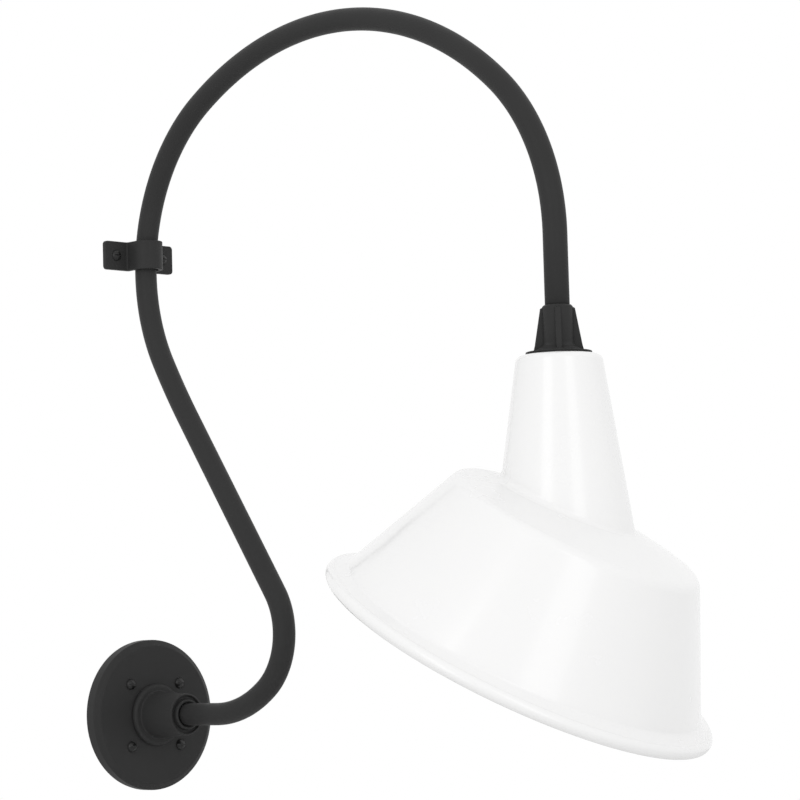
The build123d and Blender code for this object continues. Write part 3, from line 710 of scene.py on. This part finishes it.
# %% Bend the tube
degrees_a_ring = 4
radius_for_more_rings = 105
tube = bmesh.new()
bmesh.ops.create_circle(tube, segments=48, radius=tube_r * MM)
add(tube, Matrix.Translation(side_point(tube_start, 0)) @ out_of_wall)
open_end = tube.edges[:]
out, up, heading = tube_start, 0.0, 0.0
for size, turn in straights_and_bends:
    ahead_out, ahead_up = cos(radians(heading)), sin(radians(heading))
    if turn == straight:
        grown = bmesh.ops.extrude_edge_only(tube, edges=open_end)["geom"]
        ahead = side_point(size * ahead_out, size * ahead_up)
        bmesh.ops.translate(tube, verts=verts_in(grown), vec=ahead)
        out, up = out + size * ahead_out, up + size * ahead_up
    else:
        side = 1 if turn > 0 else -1
        centre_out = out - side * size * ahead_up
        centre_up = up + side * size * ahead_out
        rings = max(2, round(abs(turn) / degrees_a_ring * (1 + size / radius_for_more_rings)))
        grown = bmesh.ops.spin(tube, geom=open_end, cent=side_point(centre_out, centre_up),
                               axis=(-1, 0, 0), angle=radians(turn), steps=rings,
                               use_duplicate=False)["geom_last"]
        heading += turn
        out = centre_out + side * size * sin(radians(heading))
        up = centre_up - side * size * cos(radians(heading))
    open_end = [edge for edge in edges_in(grown) if len(edge.link_faces) == 1]
bmesh.ops.remove_doubles(tube, verts=tube.verts, dist=merge_within)
bmesh.ops.recalc_face_normals(tube, faces=tube.faces)
print(f"the tube ends {out:.1f} mm out and {up:.1f} mm up")
arm = make_piece("bent_tube", tube, "wall_bracket", "black_coat", "gooseneck_arm", weighted=False)
wall = arm.modifiers.new("tube wall", "SOLIDIFY")
wall.thickness = tube_wall * MM
wall.offset = -1

# %% [markdown]
# ## The wall strap
# The strap is a small casting: two flat feet on the wall and a round arch over the tube. From above
# it is a flat outline, so we draw that outline, fill it, and extrude it to the strap's height. The
# half circles of the arch come from spinning one point about the tube's centre. Afterwards we round
# the inner corners beside the arch, the tips of the feet, and the other sharp edges off the wall.

# %% Strap
strap_high = 29.5
strap_half_wide = 44.0
tube_out = 17.65
strap_gap = 0.25
inner_r = tube_r + strap_gap
outer_r = inner_r + strap_thick
arch_steps = 28
inner_corner_round = 1.6
tip_round = 3.6
casting_round = 0.8


def arch(mesh, radius):
    """A half circle of points over the tube, from left to right; returns its two ends."""
    start = mesh.verts.new((-radius * MM, tube_out * MM, 0))
    made = bmesh.ops.spin(mesh, geom=[start], cent=(0, tube_out * MM, 0), axis=(0, 0, 1),
                          angle=-pi, steps=arch_steps, use_duplicate=False)["geom_last"]
    return start, verts_in(made)[0]


strap = bmesh.new()
outer_ends = arch(strap, outer_r)
inner_ends = arch(strap, inner_r)
foot_corners = [(outer_r, strap_thick), (strap_half_wide, strap_thick), (strap_half_wide, 0), (inner_r, 0)]
for side, outer_end, inner_end in zip((-1, 1), outer_ends, inner_ends):
    foot = [strap.verts.new((side * across * MM, out * MM, 0)) for across, out in foot_corners]
    chain = [outer_end] + foot + [inner_end]
    for a, b in zip(chain, chain[1:]):
        strap.edges.new((a, b))
bmesh.ops.contextual_create(strap, geom=strap.edges[:])
grown = bmesh.ops.extrude_face_region(strap, geom=strap.faces[:])["geom"]
bmesh.ops.translate(strap, verts=verts_in(grown), vec=(0, 0, strap_high * MM))
bmesh.ops.recalc_face_normals(strap, faces=strap.faces)
print("strap before its edges are rounded:", len(strap.faces), "faces")

# %% Rounded edges of the strap
along_y, along_z = 1, 2
touching = 0.01
casting_turn = radians(50)
wall_margin = 0.1


def runs(edge, axis):
    """Whether an edge covers more than a millimetre along this axis."""
    return abs(edge.verts[0].co[axis] - edge.verts[1].co[axis]) > 1 * MM


def at_side(edge, across):
    """Whether both ends of an edge lie this far to either side of the tube."""
    return all(abs(abs(vert.co.x / MM) - across) < touching for vert in edge.verts)


def on_foot(edge):
    """Whether both ends of an edge lie on the front of a foot."""
    return all(abs(vert.co.y / MM - strap_thick) < touching for vert in edge.verts)


beside_arch = [e for e in strap.edges if at_side(e, outer_r) and on_foot(e) and runs(e, along_z)]
round_edges(strap, beside_arch, inner_corner_round, segments=5)
tips = [e for e in strap.edges
        if at_side(e, strap_half_wide) and runs(e, along_y) and not runs(e, along_z)]
round_edges(strap, tips, tip_round, segments=6)
off_the_wall = [e for e in strap.edges if e.calc_face_angle(0) > casting_turn
                and min(vert.co.y for vert in e.verts) > wall_margin * MM]
round_edges(strap, off_the_wall, casting_round, segments=3)
mirrored = Matrix.Scale(-1, 4, (0, 1, 0))
add(strap, Matrix.Translation(side_point(0, strap_up - strap_high / 2)) @ mirrored)
bmesh.ops.recalc_face_normals(strap, faces=strap.faces)
make_piece("strap_casting", strap, "wall_bracket", "black_cast", "wall_strap")

# %% [markdown]
# ## The socket cap
# The cap is cast too: a short round body on the tube, four ribs that widen downwards, and a thin
# flange that carries the shade. The body and flange are one spun section. A rib is a flat plate with
# its own outline, so we draw the outline, extrude it to the rib's thickness, round its edges and
# set it round the axis four times.

# %% Cap body and flange
cap_gasket_thick = 1.5
cap_web = 15.0
cap_grip = 28.0
flange_base = neck_top + cap_gasket_thick
arm_end = flange_base + cap_web
cap_top = arm_end + cap_grip
cap_wire_bore_r = 7.0
cap_spigot_r = 16.0
cap_spigot_length = 15.5
cap_spigot_end = flange_base - cap_spigot_length
flange_r = 29.6
flange_edge_thick = 1.2
flange_thick = 2.4
flare_r = 21.2
flare_high = 7.0
cap_r = 13.8
cap_crown = 1.6
turn_fit = 0.08
tip_gap = 0.3
cap_bore_r = tube_r + turn_fit
cap_bore_floor = arm_end - tip_gap
cap_body = turned_piece([
    (cap_wire_bore_r, cap_spigot_end), (cap_spigot_r, cap_spigot_end), (cap_spigot_r, flange_base),
    (flange_r, flange_base, 0.4), (flange_r, flange_base + flange_edge_thick, 0.5),
    (flare_r, flange_base + flange_thick, 2.0), (cap_r, flange_base + flare_high, 2.4),
    (cap_r, cap_top - cap_crown, 0.6), (cap_r - cap_crown, cap_top, 0.5), (cap_bore_r, cap_top),
    (cap_bore_r, cap_bore_floor), (cap_wire_bore_r, cap_bore_floor)], steps=128)
print("cap body:", len(cap_body.faces), "faces")

# %% Ribs
rib_root_r = 12.4
rib_root_low = 1.4
rib_root_drop = 1.9
rib_foot_r = 22.7
rib_top_r = 15.5
rib_top_drop = 3.0
rib_thick = 4.8
rib_round = 0.75
rib_turn = radians(20)
rib_root_margin = 0.1
first_rib_angle = 45
rib_outline = [
    (rib_root_r, flange_base + rib_root_low), (rib_foot_r, flange_base + flange_edge_thick),
    (flare_r, flange_base + flare_high), (rib_top_r, cap_top - rib_top_drop),
    (rib_root_r, cap_top - rib_root_drop)]


def rib():
    """One rib, standing along +X."""
    mesh = bmesh.new()
    mesh.faces.new([mesh.verts.new((radius * MM, -rib_thick / 2 * MM, height * MM))
                    for radius, height in rib_outline])
    grown = bmesh.ops.extrude_face_region(mesh, geom=mesh.faces[:])["geom"]
    bmesh.ops.translate(mesh, verts=verts_in(grown), vec=(0, rib_thick * MM, 0))
    bmesh.ops.recalc_face_normals(mesh, faces=mesh.faces)
    outer = [e for e in mesh.edges if e.calc_face_angle(0) > rib_turn
             and min(vert.co.x for vert in e.verts) > (rib_root_r + rib_root_margin) * MM]
    round_edges(mesh, outer, rib_round, segments=3)
    return mesh


rib_turns = [Matrix.Rotation(radians(first_rib_angle + 90 * quarter), 4, "Z") for quarter in range(4)]
ribs = [add(rib(), turn) for turn in rib_turns]
make_piece("ribbed_cap", add(joined([cap_body] + ribs), under_arm), "shade_head", "black_cast",
           "socket_cap")

# %% [markdown]
# ## The shade
# The shade is one sheet of steel: an upright neck runs into a tilted bowl, whose foot flares into a
# lip and is rolled over a wire. Every line straight up the neck and down the bowl has the same kind of
# profile, with rounded corners, so we work out one such spoke as a function of its angle about the
# bowl's axis. The neck leaves the axis, so the place where a spoke meets it is found by halving.
# A circle of vertices is then set on the first point of each spoke and extruded along them all.

# %% Form of the shade
shade_thick = 1.2
neck_top_r = 38.2
neck_slope = radians(8.6)
neck_corner = 7.0
neck_fillet = 7.0
bowl_tilt = radians(29.5)
rim_drop = 262.3
rim_back = 48.4
rim_r = 187.3
bead_r = 6.2
bead_end = radians(107)
lip_width = 15.8
lip_high = 11.5
lip_corner = 6.0
shoulder_r = 117.3
shoulder_high = 126.2
shoulder_slope = radians(12.4)
shoulder_corner = 13.0
shade_hole_r = 16.05
spokes = 160
corner_steps = 8
bead_steps = 24
halving_end = 1e-4
wall_slope = atan((rim_r - lip_width - shoulder_r) / (shoulder_high - lip_high))
bowl_place = Matrix.Translation((0, rim_back, neck_top - rim_drop)) @ Matrix.Rotation(bowl_tilt, 4, "X")


def bowl_point(angle, radius, height):
    """A point given by its angle, radius and height about the bowl's own axis, in millimetres."""
    return bowl_place @ Vector((radius * cos(angle), radius * sin(angle), height))


def rounded(corners, radii):
    """The corners of a chain, with an arc of its own radius in place of each inner one."""
    points = [corners[0]]
    for before, corner, after, radius in zip(corners, corners[1:], corners[2:], radii):
        if radius == 0:
            points.append(corner)
            continue
        one, other = (before - corner).normalized(), (after - corner).normalized()
        half = one.angle(other) / 2
        centre = corner + (one + other).normalized() * radius / sin(half)
        first, last = (corner + side * radius / tan(half) - centre for side in (one, other))
        points += [centre + radius * first.slerp(last, k / corner_steps) for k in range(corner_steps + 1)]
    return points + [corners[-1]]


def skin_corners(angle, inset):
    """Corners of one spoke from the hole in the neck's top to the lip, on the skin this far in."""
    crown = shoulder_high + shoulder_r * tan(shoulder_slope) - inset / cos(shoulder_slope)
    wall_foot = rim_r - lip_width + lip_high * tan(wall_slope) - inset / cos(wall_slope)
    corner_r = (wall_foot - crown * tan(wall_slope)) / (1 - tan(wall_slope) * tan(shoulder_slope))
    top, top_r = neck_top - inset, neck_top_r - inset / cos(neck_slope)
    low, high = 0.0, corner_r
    while high - low > halving_end:
        middle = (low + high) / 2
        joint = bowl_point(angle, middle, crown - middle * tan(shoulder_slope))
        if joint.xy.length < top_r + (neck_top - joint.z) * tan(neck_slope):
            low = middle
        else:
            high = middle
    outward = Vector((joint.x, joint.y, 0)).normalized()
    lip_up = lip_high - inset
    return [outward * shade_hole_r + Vector((0, 0, top)), outward * top_r + Vector((0, 0, top)), joint,
            bowl_point(angle, corner_r, crown - corner_r * tan(shoulder_slope)),
            bowl_point(angle, wall_foot - lip_up * tan(wall_slope), lip_up)]


def spoke(angle):
    """All points of one spoke: down the outside, round the bead and up the inside."""
    outside = skin_corners(angle, 0)
    inside = skin_corners(angle, shade_thick)
    turns = [pi / 2 - (2 * pi + pi / 2 - bead_end) * k / bead_steps for k in range(bead_steps + 1)]
    bead = [bowl_point(angle, rim_r - bead_r + bead_r * cos(turn), bead_r * sin(turn)) for turn in turns]
    radii = [neck_corner, neck_fillet, shoulder_corner, lip_corner, lip_corner] + [0] * bead_steps + [
        lip_corner, shoulder_corner - shade_thick, neck_fillet + shade_thick, neck_corner - shade_thick]
    return rounded(outside + bead + inside[::-1], radii)


print(f"bowl's wall {degrees(wall_slope):.1f} degrees off its axis, a spoke has {len(spoke(0))} points")


# %% Shade
def lofted(lines):
    """A closed skin over lines of points: a ring is set on their first points and extruded along."""
    mesh = bmesh.new()
    row = bmesh.ops.create_circle(mesh, segments=len(lines), radius=1)["verts"]
    start = edges = mesh.edges[:]
    for vert, line in zip(row, lines):
        vert.co = line[0]
    for step in range(1, len(lines[0])):
        grown = bmesh.ops.extrude_edge_only(mesh, edges=edges)["geom"]
        edges = edges_in(grown)
        fresh = set(verts_in(grown))
        row = [next(e.other_vert(old) for e in old.link_edges if e.other_vert(old) in fresh) for old in row]
        for vert, line in zip(row, lines):
            vert.co = line[step]
    edges = [e for e in edges if len(e.link_faces) == 1]
    bmesh.ops.bridge_loops(mesh, edges=start + edges)
    bmesh.ops.recalc_face_normals(mesh, faces=mesh.faces)
    return mesh


shade = lofted([spoke(2 * pi * k / spokes) for k in range(spokes)])
make_piece("enamelled_shade", add(shade, head_place @ Matrix.Scale(MM, 4)), "shade_head", "white_enamel",
           "shade", sharp=40)

# %% [markdown]
# ## Floor, world and lights
# The lamp hangs on an unseen wall over a plain pale floor. The world is white where the camera or a
# mirror looks at it, and a little darker as a light, so white enamel keeps its shape. Two large area
# lights stand in front, one on each side of the camera, with the stronger one on the left.

# %% Floor
floor_half = 4
floor_height = -0.45
floor_mesh = bmesh.new()
bmesh.ops.create_grid(floor_mesh, x_segments=1, y_segments=1, size=floor_half)
bmesh.ops.translate(floor_mesh, verts=floor_mesh.verts, vec=(0, 0, floor_height))
floor_data = bpy.data.meshes.new("floor")
floor_mesh.to_mesh(floor_data)
floor_mesh.free()
floor = bpy.data.objects.new("floor", floor_data)
bpy.context.scene.collection.objects.link(floor)
floor_data.materials.append(finish(
    "pale floor", shades=(grey(0.78), grey(0.8)), shade_scale=3.0, shine=(0.85, 0.95), shine_scale=8.0))
print("floor at", floor_height, "m")

# %% World
world_light = 0.93
white = (1, 1, 1, 1)
world = bpy.data.worlds.new("World")
bpy.context.scene.world = world
world.use_nodes = True
nodes, links = world.node_tree.nodes, world.node_tree.links
lighting = nodes["Background"]
lighting.inputs["Color"].default_value = white
lighting.inputs["Strength"].default_value = world_light
backdrop = nodes.new("ShaderNodeBackground")
backdrop.inputs["Color"].default_value = white
backdrop.inputs["Strength"].default_value = 1.0
ray = nodes.new("ShaderNodeLightPath")
either = nodes.new("ShaderNodeMath")
either.operation = "MAXIMUM"
any_of_three = nodes.new("ShaderNodeMath")
any_of_three.operation = "MAXIMUM"
links.new(ray.outputs["Is Camera Ray"], either.inputs[0])
links.new(ray.outputs["Is Glossy Ray"], either.inputs[1])
links.new(either.outputs[0], any_of_three.inputs[0])
links.new(ray.outputs["Is Transmission Ray"], any_of_three.inputs[1])
mix = nodes.new("ShaderNodeMixShader")
links.new(any_of_three.outputs[0], mix.inputs[0])
links.new(lighting.outputs[0], mix.inputs[1])
links.new(backdrop.outputs[0], mix.inputs[2])
links.new(mix.outputs[0], nodes["World Output"].inputs["Surface"])
print("world light", world_light)


# %% Lights
def softbox(name, place, aim, size, power):
    """A rectangular area light that looks at a point."""
    light = bpy.data.objects.new(name, bpy.data.lights.new(name, "AREA"))
    bpy.context.scene.collection.objects.link(light)
    light.data.shape = "RECTANGLE"
    light.data.size, light.data.size_y = size
    light.data.energy = power
    facing = (aim - Vector(place)).to_track_quat("-Z", "Y").to_matrix().to_4x4()
    light.matrix_world = Matrix.Translation(place) @ facing


lamp_centre = Vector((0, -0.3, 0.3))
softbox("key", place=(-3.4, -1.4, 1.2), aim=lamp_centre, size=(1.3, 2.8), power=16)
softbox("fill", place=(-1.0, -3.45, 1.0), aim=lamp_centre, size=(1.1, 2.6), power=10)
bpy.context.scene.view_settings.view_transform = "Standard"
print("lights:", [light.name for light in bpy.data.lights])
